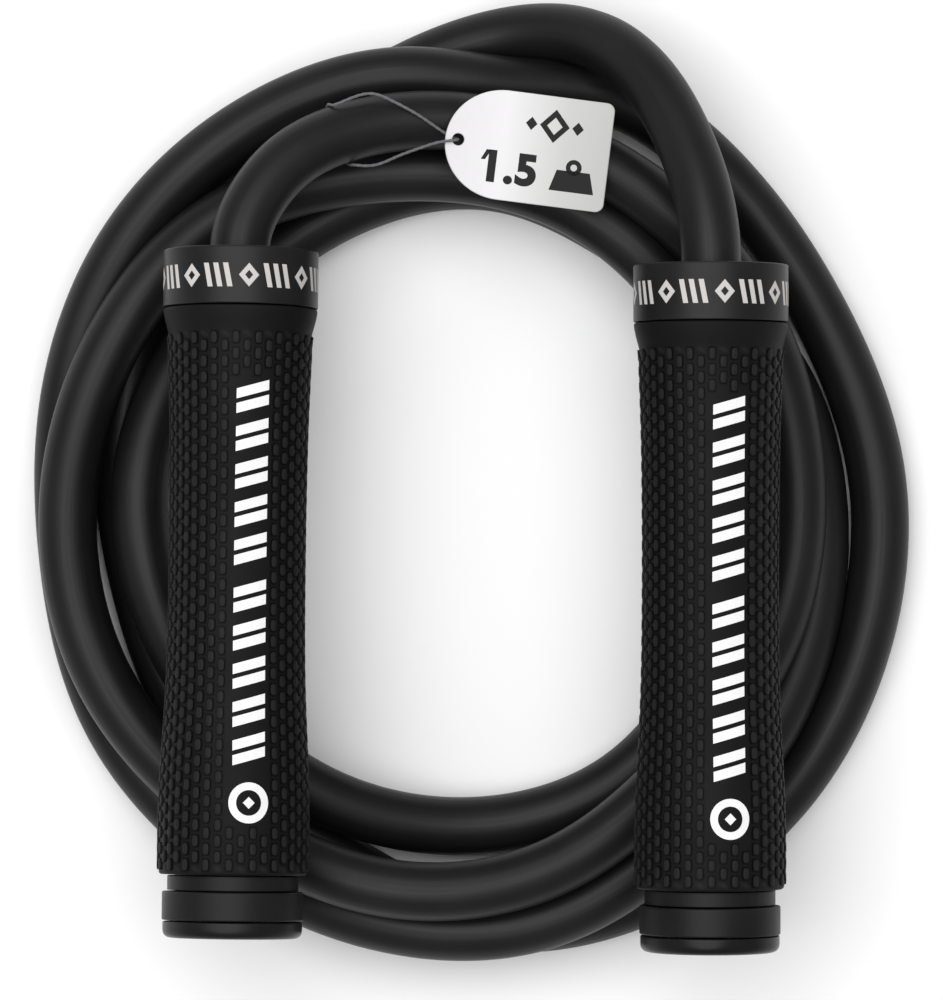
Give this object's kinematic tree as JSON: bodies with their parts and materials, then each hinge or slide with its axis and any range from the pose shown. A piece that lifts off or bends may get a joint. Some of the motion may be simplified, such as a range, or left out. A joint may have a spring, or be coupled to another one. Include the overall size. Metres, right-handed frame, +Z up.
{
  "type": "jump rope",
  "caption": "Weighted jump rope lying coiled, with thick vinyl rope, ball-bearing swivel handles with textured rubber grips and a hang tag.",
  "frame": {"origin": "centre of the box round the two handles, which lie side by side on the coil", "axes": "+Z up, +Y from the handles' end caps towards their collars, +X from the left handle to the right one"},
  "size_m": [0.2124, 0.2316, 0.0729],
  "materials": {
    "anodised_black": "matte black anodised",
    "black_nylon": "satin moulded",
    "foot_nylon": "semi-gloss moulded",
    "grip_rubber": "matte, raised oval texture",
    "seal_rubber": "satin",
    "bearing_steel": "ground and polished",
    "brass_cage": "stamped",
    "zinc_steel": "zinc plated",
    "rope_vinyl": "satin extruded",
    "silver_card": "silver printed card",
    "grey_cord": "waxed cord"
  },
  "bodies": {
    "rope_assembly": {"rope": "rope_vinyl", "tag_string": "grey_cord", "tag_string_knot": "grey_cord", "left_swivel_sleeve": "zinc_steel", "left_inner_race": "bearing_steel", "left_rope_stop_washer": "zinc_steel", "left_rope_stop_screw": "zinc_steel", "left_grub_screw_1": "zinc_steel", "left_grub_screw_2": "zinc_steel", "right_swivel_sleeve": "zinc_steel", "right_inner_race": "bearing_steel", "right_rope_stop_washer": "zinc_steel", "right_rope_stop_screw": "zinc_steel", "right_grub_screw_1": "zinc_steel", "right_grub_screw_2": "zinc_steel"},
    "left_handle": {"left_bearing_collar": "anodised_black", "left_handle_core": "black_nylon", "left_grip_sleeve": "grip_rubber", "left_outer_race": "bearing_steel", "left_dust_shield": "zinc_steel"},
    "left_balls": {"left_ball_cage": "brass_cage", "left_bearing_ball_1": "bearing_steel", "left_bearing_ball_2": "bearing_steel", "left_bearing_ball_3": "bearing_steel", "left_bearing_ball_4": "bearing_steel", "left_bearing_ball_5": "bearing_steel", "left_bearing_ball_6": "bearing_steel", "left_bearing_ball_7": "bearing_steel", "left_bearing_ball_8": "bearing_steel"},
    "left_end_plug": {"left_end_cap": "black_nylon", "left_end_cap_seal": "seal_rubber", "left_end_foot": "foot_nylon"},
    "right_handle": {"right_bearing_collar": "anodised_black", "right_handle_core": "black_nylon", "right_grip_sleeve": "grip_rubber", "right_outer_race": "bearing_steel", "right_dust_shield": "zinc_steel"},
    "right_balls": {"right_ball_cage": "brass_cage", "right_bearing_ball_1": "bearing_steel", "right_bearing_ball_2": "bearing_steel", "right_bearing_ball_3": "bearing_steel", "right_bearing_ball_4": "bearing_steel", "right_bearing_ball_5": "bearing_steel", "right_bearing_ball_6": "bearing_steel", "right_bearing_ball_7": "bearing_steel", "right_bearing_ball_8": "bearing_steel"},
    "right_end_plug": {"right_end_cap": "black_nylon", "right_end_cap_seal": "seal_rubber", "right_end_foot": "foot_nylon"},
    "tag": {"hang_tag": "silver_card"}
  },
  "joints": [
    {"name": "left_handle_spin", "type": "hinge", "parent": "rope_assembly", "child": "left_handle", "pos_m": [-0.0556, 0.082, -0.0033], "axis": [0.0119, 0.9989, -0.0454], "continuous": true},
    {"name": "left_ball_orbit", "type": "hinge", "parent": "rope_assembly", "child": "left_balls", "pos_m": [-0.0556, 0.082, -0.0033], "axis": [0.0119, 0.9989, -0.0454], "continuous": true},
    {"name": "left_end_plug_pull", "type": "slide", "parent": "left_handle", "child": "left_end_plug", "axis": [-0.0119, -0.9989, 0.0454], "range_m": [0, 0.014]},
    {"name": "right_handle_spin", "type": "hinge", "parent": "rope_assembly", "child": "right_handle", "pos_m": [0.0557, 0.0787, -0.001], "axis": [0.0019, 0.9999, -0.0122], "continuous": true},
    {"name": "right_ball_orbit", "type": "hinge", "parent": "rope_assembly", "child": "right_balls", "pos_m": [0.0557, 0.0787, -0.001], "axis": [0.0019, 0.9999, -0.0122], "continuous": true},
    {"name": "right_end_plug_pull", "type": "slide", "parent": "right_handle", "child": "right_end_plug", "axis": [-0.0019, -0.9999, 0.0122], "range_m": [0, 0.014]},
    {"name": "tag_lift", "type": "hinge", "parent": "rope_assembly", "child": "tag", "pos_m": [-0.0042, 0.109, -0.0107], "axis": [-0.1219, -0.9925, 0], "range_deg": [0, 20]}
  ],
  "couplings": [
    {"joint": "left_ball_orbit", "follows": "left_handle_spin", "ratio": 0.5772},
    {"joint": "right_ball_orbit", "follows": "right_handle_spin", "ratio": 0.5772}
  ]
}
